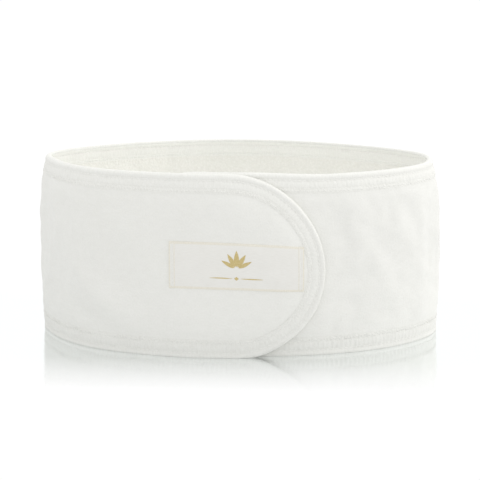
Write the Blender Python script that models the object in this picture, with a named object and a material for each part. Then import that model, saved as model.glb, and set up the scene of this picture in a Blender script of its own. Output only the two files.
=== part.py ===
"""Spa headband: a soft terry band closed into a loop by a hook-and-loop overlap.

Metres, +Z up. The band stands on its lower edge. The front, with the label, faces -Y, and the
origin is at the middle of the footprint, on the surface that the band stands on.

The whole band is drawn in three band coordinates, and place() turns them into a point:
  along   distance along the band, from the tip of the under-end to the tip of the flap
  height  distance up from the surface that the band stands on
  depth   distance out from the middle of the band's own thickness
"""
import math

import bmesh
import bpy
import numpy as np
from mathutils import Vector

# ---- driving dimensions, in metres and degrees ---------------------------------------------
BAND_HEIGHT = 0.090
LOOP_HALF_WIDTH = 0.1025      # middle of the thickness, at the level where the loop is widest
LOOP_HALF_DEPTH = 0.0625
PINCH_MEAN = 0.15             # how much slimmer than an ellipse the loop is near its two sides
PINCH_BACK = 0.14             # how much more of that pinch there is behind than in front
FRAME_SHIFT = 0.0030          # moves the loop back so that the origin is mid-footprint

WIDEST_HEIGHT = 0.055         # the wall bellies out, and is widest at this height
BELLY_TOP = 0.0042            # how far the top rim leans in from there
BELLY_BOTTOM = 0.0024         # how far the bottom rim leans in

# Places round the loop, in degrees: 0 is the front, 90 the right side, 180 the back.
UNDER_TIP_TURN = -36.5
OPEN_TURN = 212.0
LIFT_START_TURN = 283.0
PEEL_TURN = 318.0
LIFT_END_TURN = 322.0
FLAP_TIP_TURN = 385.5
LOOP_TAPE_TURNS = (-24.0, 19.0)
HOOK_TAPE_TURNS = (342.0, 371.0)
LIFT = 0.0050                 # the flap lies this much farther out than the band below it

GAP = 0.0003                  # between neighbours that touch
CLOTH = 0.0010                # thickness of the cover, and of the lining
BINDING = 0.0006              # thickness of the edge binding
HEM_WIDTH = 0.0090
RIM_CHAMFER = 0.0012
RIM_FLAT = 0.0016             # width of the rim's flat crest, on which the band stands
TAPE = 0.0006                 # thickness of the hook tape, and of the loop tape
TAPE_LOW, TAPE_HIGH = 0.025, 0.065
LABEL = 0.0003
LABEL_WIDTH = 0.0642
LABEL_SHIFT = 0.0023          # the label's middle lies this far to the right of the front
LABEL_LOW, LABEL_HIGH = 0.0346, 0.0578
THREAD_WIDTH = 0.0006
THREAD = 0.0003               # how far a row of hem stitches stands up
TAPE_THREAD = 0.0002
THREAD_GAP = 0.0002
TAPE_THREAD_GAP = 0.00015
RIM_ROW_INSET = 0.0032        # from the edge to the stitch row near the rim
HEM_ROW_INSET = 0.0078        # from the edge to the stitch row at the hem's inner side
TAPE_ROW_INSET = 0.0020
LABEL_ROW_INSET = 0.0020
LABEL_ROW_MARGIN = 0.0006     # from a stitch row's ends to the label's long edges
MOTIF_FOOT = 0.0454           # height of the point that the petals fan out from
MOTIF_RADIUS = 0.0062
RULE_FOOT = 0.0406
RULE_WIDTH, RULE_HEIGHT = 0.0220, 0.0007

FIRST_STATION_TURN = -36
STATION_STEP = 6              # degrees of turn between the band's cross-sections
LEAST_SPACING = 0.002         # between a cross-section and the end of a piece
END_STEP = 14                 # degrees between sections round a rounded end
END_STEPS = 6
BAND_ROWS = 7
TABLE_STEP = 0.25             # degrees between the entries of the table of lengths
TANGENT_STEP = 0.1            # degrees to either side, for the direction of the loop

# ---- depths, measured out from the middle of the band ---------------------------------------
COVER_INNER = GAP / 2
COVER_OUTER = COVER_INNER + CLOTH
LEG_INNER = COVER_OUTER + GAP
LEG_OUTER = LEG_INNER + BINDING
TAPE_INNER = COVER_OUTER + GAP
TAPE_OUTER = TAPE_INNER + TAPE
LABEL_INNER = COVER_OUTER + GAP
LABEL_OUTER = LABEL_INNER + LABEL
HINGE_DEPTH = LEG_OUTER + THREAD_GAP + THREAD + GAP
CLOTH_MARGIN = RIM_CHAMFER + GAP + GAP
END_RADIUS = BAND_HEIGHT / 2

FINISHES = {                  # base colour, roughness
    "velour": ((0.78, 0.78, 0.74), 0.95),
    "terry": ((0.76, 0.76, 0.72), 0.98),
    "binding": ((0.80, 0.80, 0.77), 0.90),
    "thread": ((0.83, 0.83, 0.80), 0.70),
    "tape": ((0.74, 0.74, 0.71), 0.85),
    "satin": ((0.77, 0.76, 0.73), 0.45),
    "gold": ((0.55, 0.45, 0.20), 0.40),
}


def smoothstep(low, high, value):
    share = min(max((value - low) / (high - low), 0.0), 1.0)
    return share * share * (3.0 - 2.0 * share)


# ---- the loop and the band coordinates -------------------------------------------------------
def loop_point(turn):
    """Plan position of the loop's middle line."""
    sine, cosine = math.sin(math.radians(turn)), math.cos(math.radians(turn))
    pinch = PINCH_MEAN - PINCH_BACK * cosine
    y = -LOOP_HALF_DEPTH * cosine * (1.0 - pinch * sine * sine)
    return Vector((LOOP_HALF_WIDTH * sine, y + FRAME_SHIFT, 0.0))


def loop_outward(turn):
    """Unit vector that points straight out of the loop."""
    step = loop_point(turn + TANGENT_STEP) - loop_point(turn - TANGENT_STEP)
    return Vector((step.y, -step.x, 0.0)).normalized()


def lift(turn):
    """How far the band has moved out to lie over its own under-end."""
    return LIFT * smoothstep(LIFT_START_TURN, LIFT_END_TURN, turn)


def belly(height):
    """How far the wall leans in at a height."""
    if height > WIDEST_HEIGHT:
        return BELLY_TOP * ((height - WIDEST_HEIGHT) / (BAND_HEIGHT - WIDEST_HEIGHT)) ** 2
    return BELLY_BOTTOM * ((WIDEST_HEIGHT - height) / WIDEST_HEIGHT) ** 2


def length_table():
    """Turns in small steps, and the length of band up to each of them."""
    turns = np.arange(UNDER_TIP_TURN, FLAP_TIP_TURN + TABLE_STEP, TABLE_STEP)
    points = np.array([loop_point(turn) + loop_outward(turn) * lift(turn) for turn in turns])
    steps = np.linalg.norm(np.diff(points, axis=0), axis=1)
    return turns, np.concatenate(([0.0], np.cumsum(steps)))


TABLE_TURNS, TABLE_LENGTHS = length_table()


def along_at(turn):
    return float(np.interp(turn, TABLE_TURNS, TABLE_LENGTHS))


def turn_at(along):
    return float(np.interp(along, TABLE_LENGTHS, TABLE_TURNS))


def place(along, height, depth):
    turn = turn_at(along)
    out = depth + lift(turn) - belly(height)
    point = loop_point(turn) + loop_outward(turn) * out
    return Vector((point.x, point.y, height))


BAND_LENGTH = along_at(FLAP_TIP_TURN)
OPEN_ALONG = along_at(OPEN_TURN)
PEEL_ALONG = along_at(PEEL_TURN)
FRONT_ALONG = along_at(360.0)
LABEL_MIDDLE = FRONT_ALONG + LABEL_SHIFT
STATIONS = [along_at(turn) for turn in range(FIRST_STATION_TURN, int(FLAP_TIP_TURN), STATION_STEP)]
OPEN_AXIS = place(OPEN_ALONG, WIDEST_HEIGHT, HINGE_DEPTH)
PEEL_AXIS = place(PEEL_ALONG, WIDEST_HEIGHT, HINGE_DEPTH)

# Each body's length of band: from, to.
BACK_SPAN = (0.0, OPEN_ALONG - GAP / 2)
LEFT_SPAN = (OPEN_ALONG + GAP / 2, PEEL_ALONG - GAP / 2)
FLAP_SPAN = (PEEL_ALONG + GAP / 2, BAND_LENGTH)


def stations_between(start, end):
    """The band's regular sections that lie between two places, and the two places."""
    inside = [along for along in STATIONS
              if start + LEAST_SPACING < along < end - LEAST_SPACING]
    return [start] + inside + [end]


def end_angles():
    return [math.radians(END_STEP * step) for step in range(1, END_STEPS + 1)]


# ---- objects ---------------------------------------------------------------------------------
def make_finish(name, kind):
    colour, roughness = FINISHES[kind]
    material = bpy.data.materials.new(name + "_finish")
    material.use_nodes = True
    shader = material.node_tree.nodes["Principled BSDF"]
    shader.inputs["Base Color"].default_value = (*colour, 1.0)
    shader.inputs["Roughness"].default_value = roughness
    shader.inputs["Metallic"].default_value = 0.0
    return material


def make_axis(name, position, parent):
    """An empty on a joint's axis, which the pieces of the moving body hang on."""
    empty = bpy.data.objects.new(name, None)
    empty.empty_display_size = 0.02
    empty.parent = parent
    empty.location = position - (OPEN_AXIS if parent else Vector())
    bpy.context.scene.collection.objects.link(empty)
    return empty


def finish_mesh(name, mesh_data, kind, body):
    """Turn a bmesh in world coordinates into a named object on its body."""
    axis, origin = body
    bmesh.ops.recalc_face_normals(mesh_data, faces=mesh_data.faces)
    bmesh.ops.translate(mesh_data, verts=mesh_data.verts, vec=-origin)
    mesh = bpy.data.meshes.new(name)
    mesh_data.to_mesh(mesh)
    mesh_data.free()
    mesh.shade_smooth()
    mesh.set_sharp_from_angle(angle=math.radians(40))
    piece = bpy.data.objects.new(name, mesh)
    piece.parent = axis
    piece.data.materials.append(make_finish(name, kind))
    bpy.context.scene.collection.objects.link(piece)
    return piece


def loft(name, rings, kind, body, closed=False):
    """A solid through a row of cross-sections, capped at both ends unless it is closed."""
    mesh_data = bmesh.new()
    loops = [[mesh_data.verts.new(point) for point in ring] for ring in rings]
    pairs = list(zip(loops, loops[1:]))
    if closed:
        pairs.append((loops[-1], loops[0]))
    else:
        mesh_data.faces.new(loops[0])
        mesh_data.faces.new(loops[-1])
    for first, second in pairs:
        for index, corner in enumerate(first):
            after = (index + 1) % len(first)
            mesh_data.faces.new((corner, first[after], second[after], second[index]))
    return finish_mesh(name, mesh_data, kind, body)


# ---- sheets: cover, lining, tapes, label -----------------------------------------------------
def band_columns(start, end):
    """(along, low, high) of the cloth's sections, its rounded ends included."""
    radius = END_RADIUS - CLOTH_MARGIN
    first = max(start, END_RADIUS)
    last = min(end, BAND_LENGTH - END_RADIUS)
    columns = [(along, END_RADIUS - radius, END_RADIUS + radius)
               for along in stations_between(first, last)]
    for angle in end_angles():
        reach, half = radius * math.sin(angle), radius * math.cos(angle)
        if start == 0.0:
            columns.insert(0, (END_RADIUS - reach, END_RADIUS - half, END_RADIUS + half))
        if end == BAND_LENGTH:
            columns.append((last + reach, END_RADIUS - half, END_RADIUS + half))
    return columns


def sheet_ring(column, inner, outer, rows):
    along, low, high = column
    heights = [low + (high - low) * row / rows for row in range(rows + 1)]
    outside = [place(along, height, outer) for height in heights]
    inside = [place(along, height, inner) for height in reversed(heights)]
    return outside + inside


def make_cloth(name, span, inner, outer, kind, body):
    rings = [sheet_ring(column, inner, outer, BAND_ROWS) for column in band_columns(*span)]
    return loft(name, rings, kind, body)


def make_patch(name, area, depths, kind, body, rows):
    """A rectangular patch on the band; area is its start, end, low and high."""
    start, end, low, high = area
    columns = [(along, low, high) for along in stations_between(start, end)]
    return loft(name, [sheet_ring(column, *depths, rows) for column in columns], kind, body)


# ---- edging: binding and stitch rows ----------------------------------------------------------
def edge_stations(start, end, top):
    """(along, height, step along, step up) on a long edge; the steps point into the band."""
    height = BAND_HEIGHT if top else 0.0
    first = max(start, END_RADIUS)
    last = min(end, BAND_LENGTH - END_RADIUS)
    side = -1.0 if top else 1.0
    return [(along, height, 0.0, side) for along in stations_between(first, last)]


def end_stations(centre, direction):
    """Edge stations round a rounded end, from its top to its bottom."""
    quarter = end_angles()
    angles = quarter + [math.pi - angle for angle in reversed(quarter)]
    return [(centre + direction * END_RADIUS * math.sin(angle),
             END_RADIUS + END_RADIUS * math.cos(angle),
             -direction * math.sin(angle), -math.cos(angle)) for angle in angles]


def edge_ring(station, profile):
    """A profile of (distance in from the edge, depth) points, set on an edge station."""
    along, height, step_along, step_up = station
    return [place(along + inward * step_along, height + inward * step_up, depth)
            for inward, depth in profile]


def binding_profile():
    """A channel that grips the edges of the cover and the lining."""
    outside = [(HEM_WIDTH, LEG_OUTER), (RIM_CHAMFER, LEG_OUTER), (0.0, RIM_FLAT / 2)]
    inside = [(HEM_WIDTH, LEG_INNER), (RIM_CHAMFER + GAP, LEG_INNER)]
    mirrored_outside = [(inward, -depth) for inward, depth in reversed(outside)]
    mirrored_inside = [(inward, -depth) for inward, depth in inside]
    return outside + mirrored_outside + mirrored_inside + list(reversed(inside))


def thread_profile(inset, inner, thickness):
    near, far = inset - THREAD_WIDTH / 2, inset + THREAD_WIDTH / 2
    outer = inner + thickness
    return [(near, inner), (far, inner), (far, outer), (near, outer)]


def make_end_edging(name, span, profile, kind, body):
    """Edging of a body that has a rounded end: along the top, round the end, and back."""
    start, end = span
    top = edge_stations(start, end, top=True)
    bottom = edge_stations(start, end, top=False)
    if end == BAND_LENGTH:
        route = top + end_stations(BAND_LENGTH - END_RADIUS, 1.0) + bottom[::-1]
    else:
        route = top[::-1] + end_stations(END_RADIUS, -1.0) + bottom
    return loft(name, [edge_ring(station, profile) for station in route], kind, body)


def make_side_edging(name, span, profile, kind, body, top):
    route = edge_stations(*span, top=top)
    return loft(name, [edge_ring(station, profile) for station in route], kind, body)


def make_edging_set(prefix, profile, kind, bodies):
    make_end_edging(prefix + "_back", BACK_SPAN, profile, kind, bodies["root"])
    make_side_edging(prefix + "_left_top", LEFT_SPAN, profile, kind, bodies["left_arm"], True)
    make_side_edging(prefix + "_left_bottom", LEFT_SPAN, profile, kind, bodies["left_arm"], False)
    make_end_edging(prefix + "_flap", FLAP_SPAN, profile, kind, bodies["flap"])


# ---- patches: their stitching, and the label's print ------------------------------------------
def make_patch_stitching(name, area, inner, body):
    """A closed row of stitches just inside the edge of a tape."""
    start, end, low, high = area
    first, last = start + TAPE_ROW_INSET, end - TAPE_ROW_INSET
    floor, ceiling = low + TAPE_ROW_INSET, high - TAPE_ROW_INSET
    inside = stations_between(first, last)[1:-1]
    levels = [floor + (ceiling - floor) * step / 4 for step in (1, 2, 3)]
    route = [(first, floor, 1, 1)]
    route += [(along, floor, 0, 1) for along in inside]
    route += [(last, floor, -1, 1)]
    route += [(last, level, -1, 0) for level in levels]
    route += [(last, ceiling, -1, -1)]
    route += [(along, ceiling, 0, -1) for along in reversed(inside)]
    route += [(first, ceiling, 1, -1)]
    route += [(first, level, 1, 0) for level in reversed(levels)]
    profile = thread_profile(0.0, inner, TAPE_THREAD)
    rings = [edge_ring(station, profile) for station in route]
    return loft(name, rings, "thread", body, closed=True)


def make_label_stitching(name, along, body):
    """An upright row of stitches at one end of the label."""
    steps = 4
    low, high = LABEL_LOW + LABEL_ROW_MARGIN, LABEL_HIGH - LABEL_ROW_MARGIN
    heights = [low + (high - low) * step / steps for step in range(steps + 1)]
    profile = thread_profile(0.0, LABEL_OUTER + THREAD_GAP, TAPE_THREAD)
    rings = [edge_ring((along, height, 1, 0), profile) for height in heights]
    return loft(name, rings, "thread", body)


def lotus_outline():
    """Five plain petals that fan up from a small base, as (across, up) about the base."""
    petals, half_fan, points_each = 5, math.radians(80), 6
    outline = []
    for step in range(petals * points_each + 1):
        share = step / (petals * points_each)
        angle = half_fan * (1.0 - 2.0 * share)
        petal = abs(math.sin(math.pi * petals * share))
        reach = MOTIF_RADIUS * (0.50 + 0.50 * petal ** 0.8) * (0.80 + 0.20 * math.cos(angle))
        outline.append((-reach * math.sin(angle), reach * math.cos(angle)))
    outline.append((0.0, -0.12 * MOTIF_RADIUS))
    return outline


def make_motif(name, height, inner, outer, body):
    """A thin printed figure: the outline filled from its base point, back and front."""
    mesh_data = bmesh.new()
    outline = lotus_outline()
    centre = (0.0, 0.15 * MOTIF_RADIUS)
    sides = []
    for depth in (inner, outer):
        rim = [mesh_data.verts.new(place(LABEL_MIDDLE + across, height + up, depth))
               for across, up in outline]
        hub = mesh_data.verts.new(place(LABEL_MIDDLE + centre[0], height + centre[1], depth))
        for index, corner in enumerate(rim):
            mesh_data.faces.new((hub, corner, rim[(index + 1) % len(rim)]))
        sides.append(rim)
    back, front = sides
    for index, corner in enumerate(back):
        after = (index + 1) % len(back)
        mesh_data.faces.new((corner, back[after], front[after], front[index]))
    return finish_mesh(name, mesh_data, "gold", body)


# ---- the build ---------------------------------------------------------------------------------
def main():
    for old in list(bpy.data.objects):
        bpy.data.objects.remove(old, do_unlink=True)

    open_axis = make_axis("band_open_axis", OPEN_AXIS, None)
    peel_axis = make_axis("flap_peel_axis", PEEL_AXIS, open_axis)
    bodies = {
        "root": (None, Vector()),
        "left_arm": (open_axis, OPEN_AXIS),
        "flap": (peel_axis, PEEL_AXIS),
    }

    for suffix, span, body in (("back", BACK_SPAN, "root"), ("left", LEFT_SPAN, "left_arm"),
                               ("flap", FLAP_SPAN, "flap")):
        make_cloth("outer_cover_" + suffix, span, COVER_INNER, COVER_OUTER, "velour", bodies[body])
        make_cloth("lining_" + suffix, span, -COVER_OUTER, -COVER_INNER, "terry", bodies[body])

    row_depth = LEG_OUTER + THREAD_GAP
    make_edging_set("edge_binding", binding_profile(), "binding", bodies)
    make_edging_set("rim_stitching", thread_profile(RIM_ROW_INSET, row_depth, THREAD), "thread", bodies)
    make_edging_set("hem_stitching", thread_profile(HEM_ROW_INSET, row_depth, THREAD), "thread", bodies)

    # The loop tape faces out on the under-end, and the hook tape faces in on the flap.
    loop_area = (*map(along_at, LOOP_TAPE_TURNS), TAPE_LOW, TAPE_HIGH)
    hook_area = (*map(along_at, HOOK_TAPE_TURNS), TAPE_LOW, TAPE_HIGH)
    make_patch("loop_tape", loop_area, (TAPE_INNER, TAPE_OUTER), "tape", bodies["root"], 4)
    make_patch_stitching("loop_tape_stitching", loop_area, TAPE_OUTER + TAPE_THREAD_GAP, bodies["root"])
    make_patch("hook_tape", hook_area, (-TAPE_OUTER, -TAPE_INNER), "tape", bodies["flap"], 4)
    make_patch_stitching("hook_tape_stitching", hook_area,
                         -TAPE_OUTER - TAPE_THREAD_GAP - TAPE_THREAD, bodies["flap"])

    label_start, label_end = LABEL_MIDDLE - LABEL_WIDTH / 2, LABEL_MIDDLE + LABEL_WIDTH / 2
    label_area = (label_start, label_end, LABEL_LOW, LABEL_HIGH)
    make_patch("label_ribbon", label_area, (LABEL_INNER, LABEL_OUTER), "satin", bodies["flap"], 3)
    make_label_stitching("label_stitching_left", label_start + LABEL_ROW_INSET, bodies["flap"])
    make_label_stitching("label_stitching_right", label_end - LABEL_ROW_INSET, bodies["flap"])
    print_depths = (LABEL_OUTER + THREAD_GAP, LABEL_OUTER + 2 * THREAD_GAP)
    make_motif("label_motif", MOTIF_FOOT, *print_depths, bodies["flap"])
    rule_area = (LABEL_MIDDLE - RULE_WIDTH / 2, LABEL_MIDDLE + RULE_WIDTH / 2,
                 RULE_FOOT, RULE_FOOT + RULE_HEIGHT)
    make_patch("label_rule", rule_area, print_depths, "gold", bodies["flap"], 1)


main()
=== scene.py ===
"""Looks of the spa headband: terry cloth, hems, stitches, tapes and label, made round the CAD frame.

Metres, +Z up, front -Y, as in the CAD part. Every soft piece is drawn in the same band coordinates
as the part: distance along the band, height on it, and depth out from the middle of its thickness.
A cloth simulation of the whole band gives each of those points its settled place.
"""
import math

import bpy
import numpy as np
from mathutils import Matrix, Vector


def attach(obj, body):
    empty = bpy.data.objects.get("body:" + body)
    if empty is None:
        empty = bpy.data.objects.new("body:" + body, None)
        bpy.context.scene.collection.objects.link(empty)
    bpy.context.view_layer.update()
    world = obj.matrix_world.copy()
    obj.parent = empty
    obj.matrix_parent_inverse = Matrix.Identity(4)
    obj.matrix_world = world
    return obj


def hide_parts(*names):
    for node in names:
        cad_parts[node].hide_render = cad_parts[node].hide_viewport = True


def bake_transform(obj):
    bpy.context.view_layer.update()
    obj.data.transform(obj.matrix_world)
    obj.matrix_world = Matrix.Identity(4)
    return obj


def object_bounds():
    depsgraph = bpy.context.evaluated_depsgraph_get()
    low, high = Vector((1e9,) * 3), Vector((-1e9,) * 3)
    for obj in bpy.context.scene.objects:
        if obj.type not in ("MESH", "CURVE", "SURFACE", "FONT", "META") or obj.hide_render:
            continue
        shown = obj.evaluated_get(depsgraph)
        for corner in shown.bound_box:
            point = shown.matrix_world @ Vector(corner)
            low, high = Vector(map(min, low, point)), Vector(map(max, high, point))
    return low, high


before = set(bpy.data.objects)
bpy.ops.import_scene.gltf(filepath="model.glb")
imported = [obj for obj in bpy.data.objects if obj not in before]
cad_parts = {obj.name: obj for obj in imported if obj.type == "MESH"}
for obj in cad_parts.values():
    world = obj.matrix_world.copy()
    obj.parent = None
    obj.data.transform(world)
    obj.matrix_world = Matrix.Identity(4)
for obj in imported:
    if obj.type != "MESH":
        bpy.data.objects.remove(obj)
CAD_LOW, CAD_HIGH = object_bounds()
scene = bpy.context.scene

MM = 0.001

# ---- the band's shape, from the frame ----
CLOTH_HALF = 1.15 * MM  # CAD cover's outer face, from the middle of the band
FRAME_SHIFT = 3.0 * MM
HEIGHT = CAD_HIGH[2] - CAD_LOW[2]
HALF_WIDTH = (CAD_HIGH[0] - CAD_LOW[0]) / 2 - CLOTH_HALF
HALF_DEPTH = CAD_HIGH[1] - FRAME_SHIFT - CLOTH_HALF
PINCH_MEAN, PINCH_BACK = 0.15, 0.14
UNDER_TIP_TURN, FLAP_TIP_TURN = -36.5, 385.5
LIFT_START_TURN, LIFT_END_TURN = 283.0, 322.0
LIFT = 5.0 * MM
LIFT_AT_RIM = 3.3 * MM  # the flap's free rim droops closer to the band below
WIDEST_LEFT, WIDEST_RIGHT = 56 * MM, 47 * MM
TOP_LEAN_LEFT, TOP_LEAN_RIGHT = 4.2 * MM, 5.4 * MM
BOTTOM_LEAN_LEFT, BOTTOM_LEAN_RIGHT = 2.6 * MM, 1.2 * MM
LEFT_INSET = 0.8 * MM  # the left side stands a little inside its CAD place
RIGHT_RIM_DROP = 1.5 * MM  # the top rim sits lower where it comes from under the flap
DROP_TURNS, RISE_TURNS = (4, 28), (70, 110)  # where it goes down, and comes up again
FLAP_DROP = 3.7 * MM  # the flap was fastened sloping a little downwards
FLAP_DROP_FROM = 54 * MM  # how far before the tip that slope starts
SEAM_TURN = 270.0  # the two lengths of each strip meet at the left side

HEM = 9.2 * MM  # width of the edge binding
WALL_HALF = 1.35 * MM  # half the thickness of the wall at its fullest
FINE_STEP = 1.15 * MM  # mesh size of the cloth
HEM_STEP = 0.58 * MM  # mesh size along the hem, fine enough for its puckers
HEM_PUCKER = 0.075 * MM
FLATTENED = 1.0 * MM  # how much of the soft lower rim is pressed flat
FLATTENED_BELOW = 7.0 * MM  # the height where that begins
STITCH, LOOPER_STITCH = 2.4 * MM, 1.5 * MM
RIM_THREAD, HEM_THREAD, TAPE_THREAD = 0.24 * MM, 0.17 * MM, 0.16 * MM  # radii
END_RADIUS = HEIGHT / 2


def smoothstep(low, high, value):
    share = np.clip((value - low) / (high - low), 0.0, 1.0)
    return share * share * (3.0 - 2.0 * share)


def mix(first, second, share):
    return first + (second - first) * share


def pairs(first, second):
    """Two arrays side by side, as points of a plane."""
    return np.stack([first, second], axis=-1)


def unit(vectors):
    return vectors / np.maximum(np.linalg.norm(vectors, axis=-1, keepdims=True), 1e-12)


# ---- soft noise, the same at every run ----
def cubic_weights(share):
    """Weights of four neighbours for a smooth curve near them."""
    return (((1 - share) ** 3) / 6, (3 * share ** 3 - 6 * share ** 2 + 4) / 6,
            (-3 * share ** 3 + 3 * share ** 2 + 3 * share + 1) / 6, share ** 3 / 6)


def smooth_sample(table, across, up):
    """Read a table of values (columns, rows, ...) smoothly at fractional places."""
    columns, rows = table.shape[:2]
    across = np.clip(across, 0, columns - 1.001)
    up = np.clip(up, 0, rows - 1.001)
    column, row = np.floor(across).astype(int), np.floor(up).astype(int)
    total = 0.0
    for i, weight_across in enumerate(cubic_weights(across - column), -1):
        for j, weight_up in enumerate(cubic_weights(up - row), -1):
            value = table[np.clip(column + i, 0, columns - 1), np.clip(row + j, 0, rows - 1)]
            weight = weight_across * weight_up
            total = total + value * (weight[..., None] if value.ndim > weight.ndim else weight)
    return total


NOISE_SIZE = (0.80, 0.20)  # a noise table covers the band and a margin, in metres
NOISE_MARGIN = 0.05


def soft_noise(across, up, cell, seed, stretch=1.0):
    """Smooth noise between about -1 and 1, with features the size of a cell."""
    rng = np.random.default_rng(seed)
    cells = (cell, cell * stretch)
    table = rng.uniform(-1.6, 1.6, [int(size / step) + 8 for size, step in zip(NOISE_SIZE, cells)])
    return smooth_sample(table, (across + NOISE_MARGIN) / cells[0], (up + NOISE_MARGIN) / cells[1])


# ---- band coordinates ----
def loop_point(turn):
    sine, cosine = np.sin(np.radians(turn)), np.cos(np.radians(turn))
    pinch = PINCH_MEAN - PINCH_BACK * cosine
    return pairs(HALF_WIDTH * sine, -HALF_DEPTH * cosine * (1 - pinch * sine * sine) + FRAME_SHIFT)


def loop_outward(turn):
    step = loop_point(turn + 0.1) - loop_point(turn - 0.1)
    return unit(pairs(step[..., 1], -step[..., 0]))


def lift_share(turn):
    return smoothstep(LIFT_START_TURN, LIFT_END_TURN, turn)


TURNS = np.arange(UNDER_TIP_TURN, FLAP_TIP_TURN + 0.05, 0.1)
LIFTED = loop_point(TURNS) + loop_outward(TURNS) * LIFT * lift_share(TURNS)[:, None]
LENGTHS = np.concatenate(([0.0], np.cumsum(np.linalg.norm(np.diff(LIFTED, axis=0), axis=1))))
LENGTH = float(LENGTHS[-1])


def along_at(turn):
    return float(np.interp(turn, TURNS, LENGTHS))


def turn_at(along):
    return np.interp(along, LENGTHS, TURNS)


def outward_at(along):
    """The level direction out of the band at places along it."""
    flat = loop_outward(turn_at(along))
    return np.concatenate([flat, np.zeros(flat.shape[:-1] + (1,))], axis=-1)


FRONT = along_at(360.0)
SEAM = along_at(SEAM_TURN)


def edge_distance(along, height):
    """Distance in from the band's outline, its two rounded ends included."""
    straight = np.minimum(height, HEIGHT - height)
    for centre, beyond in ((END_RADIUS, along < END_RADIUS),
                           (LENGTH - END_RADIUS, along > LENGTH - END_RADIUS)):
        rounded = END_RADIUS - np.hypot(along - centre, height - END_RADIUS)
        straight = np.where(beyond, rounded, straight)
    return straight


def belly(turn, height):
    """How far the wall leans in: fullest above the middle at the left, lower at the right."""
    right = smoothstep(-0.4, 0.8, np.sin(np.radians(turn)))
    left = smoothstep(0.5, 1.0, -np.sin(np.radians(turn)))
    widest = mix(WIDEST_LEFT, WIDEST_RIGHT, right)
    above = np.clip((height - widest) / (HEIGHT - widest), 0, 1)
    below = np.clip((widest - height) / widest, 0, 1)
    return (mix(TOP_LEAN_LEFT, TOP_LEAN_RIGHT, right) * above ** 2.2
            + mix(BOTTOM_LEAN_LEFT, BOTTOM_LEAN_RIGHT, right) * below ** 2
            + LEFT_INSET * left * (1 - below ** 2))


def lift(along, height, turn):
    """The flap's distance over the band below; its rounded rim droops."""
    droop = smoothstep(LENGTH - END_RADIUS * 1.5, LENGTH - END_RADIUS * 0.8, along)
    droop = droop * (1 - smoothstep(0.0, 22 * MM, edge_distance(along, height)))
    return lift_share(turn) * mix(LIFT, LIFT_AT_RIM, droop)


def crease(along, height, start, end, width, rise):
    """A soft ridge (or, with a negative rise, a dent) between two (turn, millimetres up) places."""
    start, end = (np.array([along_at(turn), up * MM]) for turn, up in (start, end))
    line = end - start
    across, up = along - start[0], height - start[1]
    share = np.clip((across * line[0] + up * line[1]) / (line @ line), 0, 1)
    away = np.hypot(across - share * line[0], up - share * line[1])
    fade = 0.35 + 0.65 * np.sin(np.pi * np.clip(share, 0.04, 0.96))
    return rise * MM * fade * np.exp(-(away / (width * MM)) ** 2)


# The band's own ridges and dents: (turn, height) at both ends, width and rise, in millimetres.
CREASES = [
    ((313, 38), (333, 15), 7.5, 1.9), ((306, 27), (324, 8), 7.0, -1.0),
    ((322, 66), (326, 46), 6.0, -0.55), ((332, 70), (330, 52), 5.0, 0.50),
    ((57, 70), (62, 62), 5.0, -0.30), ((150, 60), (165, 35), 9.0, 0.70),
    ((196, 30), (212, 52), 9.0, -0.70), ((232, 62), (246, 40), 8.0, 0.60),
    ((260, 29), (282, 29), 12.0, 1.2)]


def designed(along, height, depth):
    """A point of the band before the cloth has settled."""
    turn = turn_at(along)
    out = depth + lift(along, height, turn) - belly(turn, height)
    flat = loop_point(turn) + loop_outward(turn) * out[..., None]
    drop = RIGHT_RIM_DROP * smoothstep(*DROP_TURNS, turn) * (1 - smoothstep(*RISE_TURNS, turn))
    slope = FLAP_DROP * np.clip(1 - (LENGTH - along) / FLAP_DROP_FROM, 0, 2) ** 1.2
    share = np.clip(height / HEIGHT, 0, 1)
    up = height - drop * share ** 3 - slope * share ** 0.5
    return np.concatenate([flat, up[..., None]], axis=-1)


# ---- the cloth simulation ----
GRID_STEP = 4.5 * MM
GRID_COLUMNS = int(round(LENGTH / GRID_STEP)) + 1
GRID_ROWS = 21
SETTLE_FRAMES = 22
MOST_MOVE = 2.6 * MM
RUFFLE = 0.25 * MM  # unevenness that the cloth starts with
OVERLAP_TURNS = ((312, 324), (22, 34))  # where two layers start and stop lying on each other
CLOTH_SETTINGS = {
    "quality": 7, "mass": 0.02, "tension_stiffness": 18, "compression_stiffness": 18,
    "shear_stiffness": 8, "bending_stiffness": 1.2, "tension_damping": 12, "compression_damping": 12,
    "shear_damping": 8, "bending_damping": 3, "air_damping": 3, "shrink_min": -0.006,
    "vertex_group_mass": "hem", "pin_stiffness": 4}


def quads(columns, rows, first=0):
    """Faces of a grid of points stored column by column."""
    column, row = np.meshgrid(np.arange(columns - 1), np.arange(rows - 1), indexing="ij")
    corner = (first + column * rows + row).ravel()
    return np.stack([corner, corner + rows, corner + rows + 1, corner + 1], axis=1)


def add_object(name, data):
    thing = bpy.data.objects.new(name, data)
    scene.collection.objects.link(thing)
    return thing


def plain_mesh(name, points, faces):
    mesh = bpy.data.meshes.new(name)
    mesh.from_pydata(np.asarray(points).tolist(), [], [list(map(int, face)) for face in faces])
    return add_object(name, mesh)


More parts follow.
